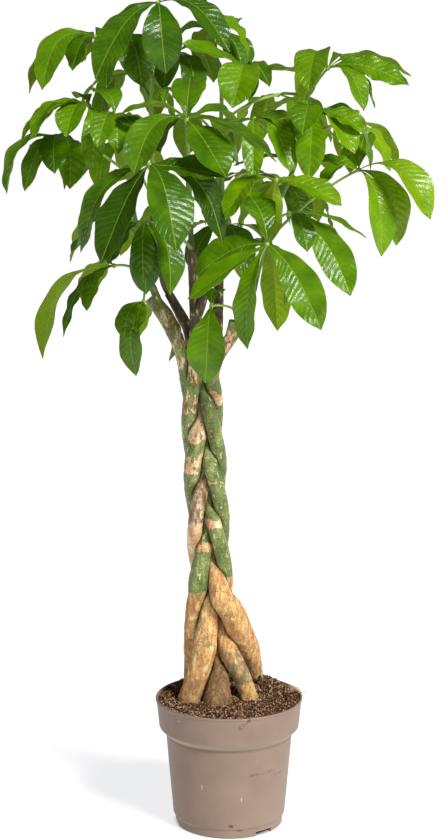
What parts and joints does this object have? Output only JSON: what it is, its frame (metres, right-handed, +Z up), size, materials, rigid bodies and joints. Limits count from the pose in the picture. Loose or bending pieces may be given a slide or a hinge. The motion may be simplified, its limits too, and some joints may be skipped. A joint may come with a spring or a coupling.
{
  "type": "potted money tree",
  "caption": "Braided money tree with palmate leaves, standing in a round plastic nursery pot filled with soil.",
  "frame": {"origin": "middle of the pot's underside, on the surface that it stands on", "axes": "+Z up along the pot's axis, -Y towards the front of the plant, +X to its right seen from the front"},
  "size_m": [0.58, 0.6005, 1.1701],
  "materials": {
    "pot_plastic": "moulded satin taupe",
    "potting_soil": "crumbly and matt",
    "bark": "green young bark, ochre and scaly lower down",
    "leaf": "waxy and glossy above, matt below"
  },
  "bodies": {
    "root": {"pot": "pot_plastic", "soil": "potting_soil", "stem_a": "bark", "stem_b": "bark", "stem_c": "bark", "stem_d": "bark", "stem_e": "bark", "leafy_shoot_a": "leaf", "leafy_shoot_b": "leaf", "leafy_shoot_c": "leaf", "leafy_shoot_d": "leaf", "leafy_shoot_e": "leaf"}
  },
  "joints": []
}
